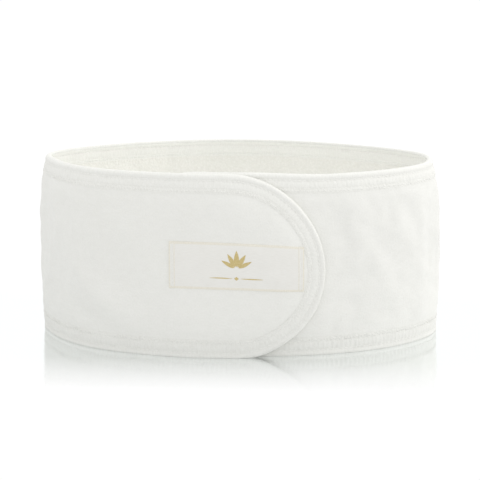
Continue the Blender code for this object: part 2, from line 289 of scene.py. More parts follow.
def settle():
    """Run the band as cloth held by its stitched hems; give each grid point's move."""
    along, height = np.meshgrid(np.linspace(0, LENGTH, GRID_COLUMNS), np.linspace(0, HEIGHT, GRID_ROWS),
                                indexing="ij")
    start = designed(along, height, np.zeros_like(along))
    outward = outward_at(along)
    ruffled = start + outward * (RUFFLE * soft_noise(along, height, 16 * MM, 5))[..., None]
    cloth = plain_mesh("settling_band", ruffled.reshape(-1, 3), quads(GRID_COLUMNS, GRID_ROWS))
    hold = cloth.vertex_groups.new(name="hem")
    distance = np.minimum(height, HEIGHT - height).ravel()
    for index, away in enumerate(distance):
        hold.add([index], float(1 - smoothstep(0.5 * HEM, 1.4 * HEM, away)), "REPLACE")
    modifier = cloth.modifiers.new("cloth", "CLOTH")
    for setting, value in CLOTH_SETTINGS.items():
        setattr(modifier.settings, setting, value)
    modifier.collision_settings.use_collision = False
    modifier.point_cache.frame_start = 1
    modifier.point_cache.frame_end = SETTLE_FRAMES
    for step in range(1, SETTLE_FRAMES + 1):
        scene.frame_set(step)
    settled = cloth.evaluated_get(bpy.context.evaluated_depsgraph_get()).to_mesh()
    moved = np.empty(len(settled.vertices) * 3)
    settled.vertices.foreach_get("co", moved)
    move = moved.reshape(start.shape) - start
    scene.frame_set(1)
    bpy.data.objects.remove(cloth, do_unlink=True)
    size = np.linalg.norm(move, axis=-1, keepdims=True)
    move = move * np.minimum(1.0, MOST_MOVE / np.maximum(size, 1e-9))
    # Where two layers lie on each other, they hold each other nearly still.
    turn = turn_at(along)
    starting, stopping = OVERLAP_TURNS
    overlap = np.maximum(smoothstep(*starting, turn), 1 - smoothstep(*stopping, turn))
    return move * (1 - 0.75 * overlap)[..., None]


MOVES = settle()
SMOOTH_FROM, SMOOTH_TO = 30, 20  # turns away from the front: under the flap the band is smooth


def wall_noise(along, height):
    """The wall's own unevenness: broad waves, creases, and puckers beside the hems."""
    distance = edge_distance(along, height)
    inside = smoothstep(4 * MM, 16 * MM, distance)
    waves = (0.08 * MM * soft_noise(along, height, 32 * MM, 11)
             + 0.02 * MM * soft_noise(along, height, 13 * MM, 12))
    for shape in CREASES:
        waves = waves + crease(along, height, *shape)
    pucker = np.exp(-((distance - HEM) / (4.5 * MM)) ** 2)
    puckers = 0.08 * MM * soft_noise(along, height, 3.6 * MM, 13, stretch=3.0) * pucker
    return waves * inside + puckers


def surface(along, height, depth):
    """Settled points of the band; depth is out from the middle of its thickness."""
    along, height, depth = np.broadcast_arrays(along, height, depth)
    move = smooth_sample(MOVES, along / LENGTH * (GRID_COLUMNS - 1), height / HEIGHT * (GRID_ROWS - 1))
    overlap = smoothstep(-SMOOTH_FROM, -SMOOTH_TO, -np.abs(turn_at(along)))
    waves = wall_noise(along, height) * (1 - 0.8 * overlap)
    points = designed(along, height, depth + waves) + move
    pressed = FLATTENED * (1 - smoothstep(0.0, FLATTENED_BELOW, points[..., 2]))
    points[..., 2] = np.maximum(points[..., 2] - pressed, 0.0)
    return points


# ---- materials ----
UNIT = 0.1  # one unit of the band's UV map, in metres
WHITE = (1.0, 1.0, 1.0)


def cream(value):
    """The off-white of the whole band, at a lightness."""
    return (value * 1.001, value, value * 0.961)


def per_mm(size_mm):
    """Texture scale for features of a size in millimetres."""
    return UNIT / (size_mm * MM)


class Nodes:
    """A material with short ways to add to its node tree."""

    def __init__(self, name):
        self.material = bpy.data.materials.new(name)
        self.material.use_nodes = True
        self.tree = self.material.node_tree

    def feed(self, node, inputs):
        """Set a node's inputs, or link them where the value is another node's output."""
        for name, value in inputs.items():
            if isinstance(value, bpy.types.NodeSocket):
                self.tree.links.new(value, node.inputs[name])
            else:
                node.inputs[name].default_value = value
        return node

    def node(self, kind, **inputs):
        return self.feed(self.tree.nodes.new(kind), inputs)

    def math(self, operation, *values):
        node = self.node("ShaderNodeMath")
        node.operation = operation
        return self.feed(node, dict(enumerate(values))).outputs[0]


class Shader(Nodes):
    """A Principled material whose textures lie in band coordinates."""

    def __init__(self, name, roughness, specular, metallic=0.0, sheen=(0.0, 0.5)):
        super().__init__(name)
        self.bsdf = self.feed(self.tree.nodes["Principled BSDF"], {
            "Roughness": roughness, "Specular IOR Level": specular, "Metallic": metallic,
            "Sheen Weight": sheen[0], "Sheen Roughness": sheen[1]})
        band = self.node("ShaderNodeUVMap")
        band.uv_map = "band"
        self.place = band.outputs["UV"]

    def noise(self, size_mm, detail, roughness=0.5, stretch=(1.0, 1.0)):
        """Noise with features of a size; its scale can differ along the band and up it."""
        scaled = self.node("ShaderNodeMapping", Vector=self.place, Scale=(*stretch, 1.0))
        return self.node("ShaderNodeTexNoise", Vector=scaled.outputs["Vector"], Scale=per_mm(size_mm),
                         Detail=detail, Roughness=roughness).outputs["Fac"]

    def ramp(self, factor, stops):
        node = self.node("ShaderNodeValToRGB", Fac=factor)
        elements = node.color_ramp.elements
        while len(elements) < len(stops):
            elements.new(0.5)
        for element, (place, colour) in zip(elements, stops):
            element.position = place
            element.color = (*colour, 1.0)
        return node.outputs["Color"]

    def tint(self, base, factor, stops, share):
        """Multiply a colour by a ramp, by a share."""
        node = self.node("ShaderNodeMix")
        node.data_type = "RGBA"
        node.blend_type = "MULTIPLY"
        self.feed(node, {"Factor": share, "A": base, "B": self.ramp(factor, stops)})
        return node.outputs["Result"]

    def finished(self, base, *relief):
        """The material with its colour and its layers of relief: (height, distance, strength)."""
        below = {}
        for height, distance, strength in relief:
            node = self.node("ShaderNodeBump", Height=height, Distance=distance, Strength=strength)
            self.feed(node, below)
            below = {"Normal": node.outputs["Normal"]}
        self.feed(self.bsdf, {"Base Color": base} | below)
        return self.material


def velour():
    """Sheared terry: a soft close pile with faint clumps. Painted shade: the pile's low places are tinted
    darker, and the colour darkens a little towards the top of the band.
    """
    shader = Shader("velour", 0.92, 0.12, sheen=(0.22, 0.55))
    broad = shader.noise(28, 3)
    pile = shader.noise(0.9, 4, 0.62)
    clumps = shader.noise(3.2, 3, 0.55, (0.75, 1.25))
    height = shader.node("ShaderNodeSeparateXYZ", Vector=shader.place).outputs["Y"]
    base = shader.ramp(broad, [(0.30, cream(0.811)), (0.70, cream(0.821))])
    # Painted shade: the colour darkens a little towards the top of the band.
    base = shader.tint(base, height, [(0.08, WHITE), (0.50, (0.967, 0.967, 0.967))], 1.0)
    # Painted shade of the pile: where its noise is low, which is also where its bump is low, the colour
    # is darker.
    base = shader.tint(base, pile, [(0.32, (0.90, 0.90, 0.885)), (0.62, WHITE)], 0.35)
    base = shader.tint(base, clumps, [(0.35, (0.955, 0.957, 0.95)), (0.65, WHITE)], 0.4)
    return shader.finished(base, (clumps, 0.0005, 0.2), (pile, 0.0004, 0.35))


def terry():
    """Uncut loops on the inner face."""
    shader = Shader("terry", 0.95, 0.10, sheen=(0.18, 0.6))
    cells = shader.node("ShaderNodeTexVoronoi", Vector=shader.place, Scale=per_mm(1.15))
    loops = cells.outputs["Distance"]
    rows = shader.noise(1.6, 3, 0.6, (0.7, 1.3))
    broad = shader.noise(24, 3)
    base = shader.ramp(broad, [(0.3, (0.866, 0.862, 0.820)), (0.7, (0.884, 0.878, 0.838))])
    base = shader.tint(base, loops, [(0.05, WHITE), (0.75, (0.88, 0.88, 0.86))], 0.45)
    base = shader.tint(base, rows, [(0.35, (0.94, 0.94, 0.93)), (0.65, WHITE)], 0.5)
    return shader.finished(base, (shader.math("SUBTRACT", rows, loops), 0.0005, 0.35))


def binding(name, worn):
    """Knitted edging: fine ribs across the hem. The copy inside the band is painted lighter, as painted
    light where the inside lies in shade; the outer copy is darker by that step.
    """
    shader = Shader(name, 0.88, 0.15, sheen=(0.2, 0.5))
    ribs = shader.noise(0.8, 3, 0.55, (1.0, 0.35))
    pile = shader.noise(0.7, 3, 0.6)
    broad = shader.noise(20, 3)
    # Painted light: the inside copy gets no darkening here, so it is painted lighter than the outer copy,
    # which worn darkens.
    base = shader.ramp(broad, [(0.3, cream(0.860 - worn)), (0.7, cream(0.874 - worn))])
    base = shader.tint(base, ribs, [(0.35, (0.93, 0.93, 0.92)), (0.62, WHITE)], 0.6)
    base = shader.tint(base, pile, [(0.35, (0.95, 0.95, 0.94)), (0.62, WHITE)], 0.6)
    return shader.finished(base, (ribs, 0.0005, 0.3), (pile, 0.0004, 0.3))


def thread():
    """Twisted polyester sewing thread."""
    shader = Shader("thread", 0.62, 0.35, sheen=(0.1, 0.4))
    twist = shader.noise(0.35, 2, 0.5, (1.4, 0.8))
    base = shader.ramp(twist, [(0.35, cream(0.785)), (0.65, cream(0.83))])
    return shader.finished(base, (twist, 0.0002, 0.5))


def satin():
    """Satin ribbon: fine long floats with a faint sheen."""
    shader = Shader("satin", 0.46, 0.42, sheen=(0.15, 0.35))
    floats = shader.noise(0.5, 2, 0.5, (0.18, 1.6))
    cloudy = shader.noise(9, 3)
    base = shader.ramp(cloudy, [(0.3, (0.765, 0.758, 0.722)), (0.7, (0.785, 0.778, 0.745))])
    base = shader.tint(base, floats, [(0.35, (0.955, 0.952, 0.945)), (0.65, WHITE)], 0.8)
    shader.feed(shader.bsdf, {"Roughness": shader.math("MULTIPLY_ADD", floats, 0.16, 0.40)})
    return shader.finished(base, (floats, 0.0002, 0.35))


def selvedge_and_painted_shade():
    """The ribbon's woven edges and turned ends, a shade creamier and darker than its middle: partly the
    woven edge's own colour and partly painted shade along the ribbon's edges, with a painted shadow where
    the turned-under ends stop.
    """
    shader = Shader("selvedge_and_painted_shade", 0.6, 0.3)
    weave = shader.noise(0.45, 2, 0.5, (1.3, 0.6))
    base = shader.ramp(weave, [(0.35, (0.715, 0.685, 0.60)), (0.65, (0.785, 0.76, 0.68))])
    return shader.finished(base, (weave, 0.0002, 0.5))


def gold():
    """Pale gold ink, a little worn where the weave stands up."""
    shader = Shader("gold_ink", 0.42, 0.5, metallic=0.35)
    speckle = shader.noise(0.6, 3, 0.6)
    base = shader.ramp(speckle, [(0.30, (0.46, 0.36, 0.14)), (0.55, (0.58, 0.47, 0.22)),
                                 (0.75, (0.66, 0.57, 0.34))])
    return shader.finished(base, (speckle, 0.0001, 0.4))


def nylon():
    """The hook tape's moulded nylon."""
    shader = Shader("nylon", 0.38, 0.45)
    weave = shader.noise(0.7, 2, 0.5, (1.2, 0.7))
    base = shader.ramp(weave, [(0.35, (0.845, 0.842, 0.805)), (0.65, (0.895, 0.892, 0.858))])
    return shader.finished(base, (weave, 0.0002, 0.4))


def brushed_loops():
    """The loop tape's napped face."""
    shader = Shader("brushed_loops", 0.85, 0.15, sheen=(0.3, 0.5))
    nap = shader.noise(0.8, 5, 0.68)
    base = shader.ramp(nap, [(0.32, (0.83, 0.827, 0.79)), (0.62, (0.895, 0.892, 0.855))])
    return shader.finished(base, (nap, 0.0005, 0.7))


INSIDE_PAINTED_LIGHTER = 0.064  # painted light: the binding's inside copy is painted lighter than its outer copy by this much
LOOKS = {
    "velour": velour(), "terry": terry(), "binding": binding("binding", INSIDE_PAINTED_LIGHTER),
    "binding_inside_painted_light": binding("binding_inside_painted_light", 0.0), "thread": thread(), "satin": satin(),
    "selvedge_and_painted_shade": selvedge_and_painted_shade(), "gold_print": gold(), "hook_tape": nylon(), "loop_tape": brushed_loops()}


# ---- mesh helpers ----
def make_piece(name, points, faces, looks, band, looks_of_faces=None):
    """A named mesh with its band UV map; band holds (along, height) of each point."""
    piece = plain_mesh(name, points, faces)
    mesh = piece.data
    for look in looks:
        mesh.materials.append(LOOKS[look])
    if looks_of_faces is not None:
        mesh.polygons.foreach_set("material_index", np.asarray(looks_of_faces, np.int32))
    corners = np.empty(len(mesh.loops), np.int32)
    mesh.loops.foreach_get("vertex_index", corners)
    layer = mesh.uv_layers.new(name="band")
    layer.uv.foreach_set("vector", (band[corners] / UNIT).astype(np.float32).ravel())
    mesh.validate()
    mesh.shade_smooth()
    mesh.set_sharp_from_angle(angle=math.radians(55))
    return piece


def shell_faces(columns, rows):
    """A closed shell: outer grid, inner grid, and the walls that join their four edges."""
    count = columns * rows
    outer = quads(columns, rows)
    inner = quads(columns, rows, count)[:, ::-1]
    grid = np.arange(count).reshape(columns, rows)
    walls = []
    for line in (grid[:, 0], grid[-1, :], grid[::-1, -1], grid[0, ::-1]):
        walls.append(np.stack([line[1:], line[:-1], line[:-1] + count, line[1:] + count], axis=1))
    return np.concatenate([outer, inner] + walls)


def make_shell(name, along, height, outer_depth, inner_depth, looks, side, looks_of_faces=None):
    """A sheet between two depths over a grid of places; side is -1 on the band's inner face."""
    points = [surface(along, height, depth).reshape(-1, 3) for depth in (outer_depth, inner_depth)]
    faces = shell_faces(*along.shape)[:, ::side]
    band = [pairs(along, height).reshape(-1, 2)] * 2
    return make_piece(name, np.concatenate(points), faces, looks, np.concatenate(band), looks_of_faces)


def sweep_faces(stations, corners):
    """A closed ring of corners swept along stations, capped at both ends."""
    station, corner = np.meshgrid(np.arange(stations - 1), np.arange(corners), indexing="ij")
    after = (corner + 1) % corners
    here, there = station * corners, (station + 1) * corners
    sides = np.stack([here + corner, here + after, there + after, there + corner], axis=-1).reshape(-1, 4)
    caps = [list(range(corners))[::-1], list(range((stations - 1) * corners, stations * corners))]
    return sides.tolist() + caps


def tubes(centres, out, radii, sides):
    """Many thin closed tubes: centres and out are (tubes, points, 3), radii one for each point."""
    count, points = centres.shape[:2]
    tangent = unit(np.gradient(centres, axis=1))
    side = unit(np.cross(tangent, out))
    up = np.cross(side, tangent)
    angles = np.arange(sides) * 2 * math.pi / sides
    around = (np.cos(angles)[:, None] * up[:, :, None, :]
              + np.sin(angles)[:, None] * side[:, :, None, :])
    ring = centres[:, :, None, :] + radii[:, None, None] * around
    single = sweep_faces(points, sides)
    faces = [[corner + tube * points * sides for corner in face]
             for tube in range(count) for face in single]
    return ring.reshape(-1, 3), faces


def make_strands(name, rows, radii, sides=6, look="thread"):
    """One piece of thin tubes; a row is (centres, directions out, places on the band)."""
    centres, out, places = (np.concatenate(parts) for parts in zip(*rows))
    points, faces = tubes(centres, out, radii, sides)
    return make_piece(name, points, faces, [look], np.repeat(places.reshape(-1, 2), sides, axis=0))


# ---- cover and lining ----
CLOTH_INSET = 5.2 * MM  # the cloth ends inside the hem, this far from its edge
TUCKED_HALF, LIP_HALF = 0.42 * MM, 1.06 * MM  # half the wall inside the hem, and where it comes out
PILE, CLUMPS = 0.055 * MM, 0.05 * MM  # relief of the terry


def wall_half(distance):
    """Half the wall's thickness: pinched in the hem, full a little way in."""
    tucked = smoothstep(HEM - 0.55 * MM, HEM - 0.02 * MM, distance)
    full = smoothstep(HEM, HEM + 5 * MM, distance)
    return mix(TUCKED_HALF, mix(LIP_HALF, WALL_HALF, full), tucked)


def row_heights():
    """Heights of the cloth's rows, closer beside the hems."""
    near = np.array([0.0, 2.0, 3.3, 3.65, 3.85, 4.05, 4.3, 4.8, 5.6, 6.6]) * MM + CLOTH_INSET
    middle_rows = int((HEIGHT - 2 * near[-1]) / FINE_STEP)
    middle = np.linspace(near[-1], HEIGHT - near[-1], middle_rows)[1:-1]
    return np.concatenate([near, middle, HEIGHT - near[::-1]])


def cloth_grid(start, end):
    """(along, height) grids of the cloth between two places, its rounded ends included."""
    radius = END_RADIUS - CLOTH_INSET
    first, last = max(start, END_RADIUS), min(end, LENGTH - END_RADIUS)
    columns = list(np.linspace(first, last, max(2, int((last - first) / FINE_STEP))))
    halves = [radius] * len(columns)
    angles = np.radians(np.linspace(0, 88.5, int(radius * 1.6 / FINE_STEP)))[1:]
    reach, half = radius * np.sin(angles), list(radius * np.cos(angles))
    if start == 0.0:
        columns = list(END_RADIUS - reach[::-1]) + columns
        halves = half[::-1] + halves
    if end == LENGTH:
        columns = columns + list(LENGTH - END_RADIUS + reach)
        halves = halves + half
    share = (row_heights() - END_RADIUS) / radius
    along = np.array(columns)[:, None] + 0 * share
    return along, END_RADIUS + np.array(halves)[:, None] * share


def pile(along, height, seed):
    """Relief of the terry itself."""
    return (PILE * soft_noise(along, height, 1.9 * MM, seed)
            + CLUMPS * soft_noise(along, height, 4.5 * MM, seed + 1))


def make_cloth(name, start, end, side, look, seed):
    """One face cloth of the band; side is 1 for the cover and -1 for the lining."""
    along, height = cloth_grid(start, end)
    distance = edge_distance(along, height)
    bare = smoothstep(HEM - 1 * MM, HEM + 2 * MM, distance)
    outer = side * (wall_half(distance) + pile(along, height, seed) * bare)
    return make_shell(name, along, height, outer, side * 0.06 * MM, [look], side)


# ---- edge binding ----
# Half thickness of the hem at distances in from the edge, in millimetres: a rolled rim, the groove
# of the rim stitches, the flat of the hem, and the groove of the double row at its inner edge.
HEM_PROFILE = np.array([
    (0.00, 0.00), (0.05, 0.42), (0.20, 0.82), (0.48, 1.18), (0.90, 1.40), (1.40, 1.49), (1.90, 1.44),
    (2.35, 1.30), (2.75, 1.12), (3.10, 1.03), (3.45, 1.10), (3.90, 1.22), (4.50, 1.30), (5.20, 1.32),
    (5.90, 1.30), (6.40, 1.24), (6.80, 1.13), (7.10, 1.04), (7.40, 1.12), (7.80, 1.22), (8.10, 1.20),
    (8.40, 1.09), (8.70, 1.00), (8.95, 1.05), (9.15, 1.07), (9.22, 0.90)])
HEM_INSIDE = np.array([(9.10, 0.55), (7.0, 0.55), (4.8, 0.55), (2.4, 0.5)])
HEM_RING = MM * np.concatenate([HEM_PROFILE[::-1], HEM_PROFILE[1:] * (1, -1),
                                HEM_INSIDE * (1, -1), HEM_INSIDE[::-1]])


def edge_route(start, end, step):
    """(along, height, step along, step up) round the band's edge, the steps pointing into it."""
    first, last = max(start, END_RADIUS), min(end, LENGTH - END_RADIUS)
    straight = np.linspace(first, last, max(2, int((last - first) / step)))
    angles = np.linspace(0, math.pi, int(END_RADIUS * math.pi / step))[1:-1]
    top = [(along, HEIGHT, 0.0, -1.0) for along in straight]
    bottom = [(along, 0.0, 0.0, 1.0) for along in straight]
    if end == LENGTH:
        centre, direction = last, 1.0
    else:
        centre, direction = first, -1.0
        top, bottom = top[::-1], bottom[::-1]
    turn = [(centre + direction * END_RADIUS * math.sin(angle),
             END_RADIUS + END_RADIUS * math.cos(angle),
             -direction * math.sin(angle), -math.cos(angle)) for angle in angles]
    return np.array(top + turn + bottom[::-1])


def route_length(route):
    return np.concatenate(([0.0], np.cumsum(np.hypot(*np.diff(route[:, :2], axis=0).T))))


def make_binding(name, start, end, seed):
    route = edge_route(start, end, HEM_STEP)
    inward, half = (np.tile(column, (len(route), 1)) for column in HEM_RING.T)
    along = route[:, 0, None] + inward * route[:, 2, None]
    height = route[:, 1, None] + inward * route[:, 3, None]
    travelled = route_length(route)[:, None] + 0 * along
    plump = 1 + 0.06 * soft_noise(travelled / 2, inward, 5 * MM, seed)
    between = smoothstep(3.0 * MM, 4.0 * MM, inward) * (1 - smoothstep(6.0 * MM, 7.0 * MM, inward))
    phase = travelled + 0.5 * MM * soft_noise(travelled / 2, inward * 0, 7 * MM, seed + 2)
    strength = 1 + 0.5 * soft_noise(travelled / 2, inward * 0, 4 * MM, seed + 3)
    puckers = HEM_PUCKER * strength * between * np.cos(2 * math.pi * phase / STITCH)
    puckers = puckers * np.where(half > 0, 1.0, 0.4)
    ripple = 0.05 * MM * soft_noise(travelled / 2, inward, 1.3 * MM, seed + 1) + puckers
    face = np.sign(half) * (inward > 0.5 * MM)
    points = surface(along, height, half * plump + face * ripple)
    band = pairs(travelled, inward).reshape(-1, 2)
    faces = sweep_faces(len(route), len(HEM_RING))
    if end == LENGTH:
        faces = [face[::-1] for face in faces]
    # Painted light: the faces on the hem's inner side take the lighter inside copy of the binding.
    inside_painted_light = np.arange(len(HEM_RING)) > len(HEM_PROFILE) + 3
    kinds = np.concatenate([np.tile(inside_painted_light, len(route) - 1), [False, False]])
    return make_piece(name, points.reshape(-1, 3), faces, ["binding", "binding_inside_painted_light"], band, kinds)


# ---- stitches ----
ALONG_STITCH = np.linspace(0.0, 1.0, 6)  # the points of one stitch
ARCH = np.sin(np.pi * ALONG_STITCH)
TAPE_STITCH = (-0.12 + 0.22 * ARCH) * MM  # height of a tape's or the label's stitch over its face
TAPER = np.array([0.55, 0.95, 1.0, 1.0, 0.95, 0.55])
WANDER = 0.05 * MM  # how far a stitch strays from its row
HALF_STITCH = 0.43  # half of what is seen of a stitch, as a share of the distance to the next
RIM_ROW = 3.1 * MM  # rows, in from the edge
NEEDLE_ROWS = (7.1 * MM, 8.7 * MM)


def strands(along, height, depth, side):
    """A row of threads at places on the band, as make_strands takes it."""
    return surface(along, height, depth), side * outward_at(along), pairs(along, height)


def strands_on_edge(route, spans, inwards, depths, side):
    """Threads on the hem, each between two distances along the route; inwards and depths are its
    points' distances in from the edge and heights over the hem."""
    length = route_length(route)
    travelled = spans[:, :1] + (spans[:, 1:] - spans[:, :1]) * ALONG_STITCH
    along, height, step_along, step_up = (np.interp(travelled, length, field) for field in route.T)
    hem_half = np.interp(inwards / MM, HEM_PROFILE[:, 0], HEM_PROFILE[:, 1]) * MM
    return strands(along + inwards * step_along, height + inwards * step_up,
                   side * (hem_half + depths), side)


def straight_row(route, inward, side, seed):
    """A lockstitch row: each stitch dips into the cloth at both ends."""
    total = route_length(route)[-1]
    count = int(total / STITCH)
    middles = (np.arange(count) + 0.5) * total / count
    spans = np.stack([middles - HALF_STITCH * STITCH, middles + HALF_STITCH * STITCH], axis=1)
    rng = np.random.default_rng(seed)
    wander = rng.normal(0, WANDER, (count, 1))
    slant = rng.normal(0, 0.04 * MM, (count, 1)) * np.linspace(-1, 1, 6)
    return strands_on_edge(route, spans, inward + wander + slant, (-0.16 + 0.26 * ARCH) * MM, side)


def looper_row(route, seed):
    """The cover stitch's looper thread, which zigzags between its two needle rows."""
    near, far = NEEDLE_ROWS
    total = route_length(route)[-1]
    count = int(total / LOOPER_STITCH)
    starts = np.arange(count) * total / count
    spans = np.stack([starts, starts + 1.02 * total / count], axis=1)
    rng = np.random.default_rng(seed)
    outbound = (np.arange(count) % 2 == 0)[:, None]
    share = smoothstep(0.0, 1.0, ALONG_STITCH)
    inwards = np.where(outbound, mix(near, far, share), mix(far, near, share))
    inwards = inwards + rng.normal(0, 0.04 * MM, (count, 1))
    return strands_on_edge(route, spans, inwards, (-0.10 + 0.12 * ARCH) * MM, 1)


def make_hem_threads(suffix, route, seed):
    rim = [straight_row(route, RIM_ROW, 1, seed), straight_row(route, RIM_ROW, -1, seed + 1)]
    near, far = NEEDLE_ROWS
    hem = [straight_row(route, near, 1, seed + 2), straight_row(route, far, 1, seed + 3),
           looper_row(route, seed + 4), straight_row(route, (near + far) / 2, -1, seed + 5)]
    return (make_strands("rim_stitches_" + suffix, rim, RIM_THREAD * TAPER),
            make_strands("hem_stitches_" + suffix, hem, HEM_THREAD * TAPER))


# ---- the label ----
LABEL_LOW, LABEL_HIGH = 34.9 * MM, 57.9 * MM
LABEL_HALF = 32.5 * MM
LABEL_MIDDLE = FRONT + 2.6 * MM
LABEL_LEFT, LABEL_RIGHT = LABEL_MIDDLE - LABEL_HALF, LABEL_MIDDLE + LABEL_HALF
LABEL_FOLD = 2.6 * MM  # turned-under ends are this wide
LABEL_ROW = 1.7 * MM  # the stitch row, in from each end
LABEL_TUCK = 0.5 * MM  # its upper edge is pulled in by this much at the right end
LABEL_LIFT = 0.38 * MM  # its face stands this far over the wall
MOTIF_HEIGHT, RULE_HEIGHT = 45.4 * MM, 40.6 * MM  # the print's parts, on the band
INK_TOP, INK_ROOT = 0.035 * MM, 0.06 * MM  # how far the ink stands out of the ribbon, and goes in


def from_label_end(along):
    return np.minimum(along - LABEL_LEFT, LABEL_RIGHT - along)


def label_turned(along):
    """1 where the ribbon is doubled at its turned ends, 0 between them."""
    return 1 - smoothstep(LABEL_FOLD - 0.2 * MM, LABEL_FOLD + 0.3 * MM, from_label_end(along))


def label_depth(along, height):
    """Depth of the ribbon's face: it lies on the pile, is held at its ends and lifts a little between."""
    from_end = from_label_end(along)
    from_edge = np.minimum(height - LABEL_LOW, LABEL_HIGH - height)
    held = np.exp(-((from_end - LABEL_ROW) / (0.6 * MM)) ** 2)
    wall = wall_half(np.maximum(edge_distance(along, height), HEM + 0.2 * MM))
    tight = 1 - smoothstep(0, 5 * MM, from_edge)
    ease = 0.16 * MM * soft_noise(along, height, 11 * MM, 41, 1.6) * (1 - 0.7 * tight)
    near_end = 1 - smoothstep(0, 9 * MM, from_end)
    pull = 0.08 * MM * soft_noise(along, height, 2.8 * MM, 42, 2.5) * near_end
    lifted = LABEL_LIFT + 0.20 * MM * label_turned(along) - 0.20 * MM * held - 0.10 * MM * tight
    return wall + lifted + ease + pull


def label_height(along, share):
    """Height on the band at a share of the ribbon's width: its edges run slightly wavy."""
    tuck = LABEL_TUCK * smoothstep(LABEL_RIGHT - 15 * MM, LABEL_RIGHT, along)
    wave = 0.22 * MM * soft_noise(along, 0 * along, 9 * MM, 43)
    return mix(LABEL_LOW, LABEL_HIGH - tuck, share) + wave


def make_label():
    near_end = np.linspace(0, 6 * MM, 16)
    columns = np.unique(np.concatenate([
        np.linspace(LABEL_LEFT, LABEL_RIGHT, 96), LABEL_LEFT + near_end, LABEL_RIGHT - near_end]))
    shares = np.concatenate([[0, 0.012, 0.03, 0.05], np.linspace(0.08, 0.92, 30), [0.95, 0.97, 0.988, 1]])
    along = columns[:, None] + 0 * shares
    height = label_height(along, shares)
    rounded = np.zeros(len(shares))
    rounded[[0, -1]], rounded[[1, -2]] = 0.10 * MM, 0.03 * MM
    depth = label_depth(along, height)
    thickness = (0.30 + 0.20 * label_turned(along)) * MM
    # The edge rows and the very ends take the selvedge look: partly their own creamier weave, partly
    # painted shade along the ribbon's edges.
    border = np.zeros((len(columns) - 1, len(shares) - 1), int)
    border[:, :3] = border[:, -3:] = 1
    from_end = from_label_end((columns[1:] + columns[:-1]) / 2)
    # Painted shadow: a narrow band where the turned-under ends stop takes the darker selvedge look.
    border[(from_end < 0.7 * MM) | (np.abs(from_end - LABEL_FOLD) < 0.3 * MM)] = 1
    walls = np.ones(2 * sum(border.shape), int)
    return make_shell("satin_label", along, height, depth - rounded, depth - thickness,
                      ["satin", "selvedge_and_painted_shade"], 1, np.concatenate([border.ravel(), border.ravel(), walls]))


def make_label_stitches(name, place, seed):
    """An upright row of short stitches through one end of the ribbon."""
    rng = np.random.default_rng(seed)
    count = 10
    share = (np.arange(count)[:, None] + 0.5 + np.linspace(-0.42, 0.42, 6)) / count
    along = place + rng.normal(0, WANDER, (count, 1)) + 0 * share
    height = label_height(along, mix(0.017, 0.983, share))
    depth = label_depth(along, height) + TAPE_STITCH
    return make_strands(name, [strands(along, height, depth, 1)], TAPE_THREAD * TAPER)


def print_sheet(name, outlines, middle_height):
    """Ink on the ribbon: outlines of (across, up) points in mm, each filled round its own centre."""
    points, faces, band = [], [], []
    for outline in outlines:
        outline = np.array(outline) * MM
        centre = outline.mean(axis=0, keepdims=True)
        rings = [centre + (outline - centre) * share for share in (1.0, 0.66, 0.33)]
        flat = np.concatenate(rings + [centre]) + (LABEL_MIDDLE, middle_height)
        count, layer, offset = len(outline), len(flat), sum(len(sheet) for sheet in points)
        for index in range(count):
            after = (index + 1) % count
            slices = [[ring + index, ring + after, ring + count + after, ring + count + index]
                      for ring in (0, count)] + [[2 * count + index, 2 * count + after, 3 * count]]
            for face in slices:
                faces.append([offset + corner for corner in face])
                faces.append([offset + layer + corner for corner in face[::-1]])
            faces.append([offset + corner for corner in (after, index, layer + index, layer + after)])
        depth = label_depth(*flat.T)
        points += [surface(*flat.T, depth + INK_TOP), surface(*flat.T, depth - INK_ROOT)]
        band += [flat, flat]
    return make_piece(name, np.concatenate(points), faces, ["gold_print"], np.concatenate(band))


# A plain five-petalled water lily, and a thin rule with a small diamond in it, in millimetres.
PETALS = [(0, 8.0, 1.25), (-31, 7.4, 1.1), (31, 7.4, 1.1), (-62, 7.2, 0.95), (62, 7.2, 0.95)]
PETAL_FOOT = 1.0  # the petals start this far from the middle
RULE_CENTRES = (-7.4, 7.4)
RULE_HALF_LENGTH, RULE_HALF_HEIGHT = 5.4, 0.28
DIAMOND = [(0.0, 0.95), (-1.15, 0.0), (0.0, -0.95), (1.15, 0.0)]


def petal(angle_deg, length, width):
    """A pointed petal that leans at an angle from upright."""
    angle = math.radians(angle_deg)
    axis = np.array([math.sin(angle), math.cos(angle)])
    across = np.array([math.cos(angle), -math.sin(angle)])
    shares = np.linspace(0, 1, 9)[:, None]
    middle = axis * (PETAL_FOOT + length * shares)
    side = across * (width * np.sin(math.pi * shares ** 0.8) ** 0.9)
    return np.concatenate([middle + side, (middle - side)[-2:0:-1]])


def bar(centre):
    """A thin rule that tapers to its ends."""
    shares = np.linspace(-1, 1, 12)
    taper = RULE_HALF_HEIGHT * (1 - 0.85 * shares ** 2)
    upper = pairs(centre + RULE_HALF_LENGTH * shares, taper)
    return np.concatenate([upper, upper[::-1] * (1, -1)])


# ---- hook and loop tapes ----
TAPE_LOW, TAPE_HIGH = 25.0 * MM, 65.0 * MM
TAPE_ROW, TAPE_PITCH = 2.0 * MM, 2.6 * MM  # the stitch row, in from the edge, and its stitches
TAPE_FACE, TAPE_BACK = WALL_HALF + 0.38 * MM, WALL_HALF - 0.25 * MM
TAPE_BORDER = (3.4 * MM, 3.2 * MM)  # hooks and loops keep clear of the stitched border
HOOK_AREA = (along_at(342.0), along_at(371.0))
LOOP_AREA = (along_at(-24.0), along_at(19.0))
HOOK_PITCH, LOOP_PITCH = 1.55 * MM, 1.7 * MM
HOOK_FOOT, LOOP_FOOT = WALL_HALF + 0.36 * MM, WALL_HALF + 0.34 * MM
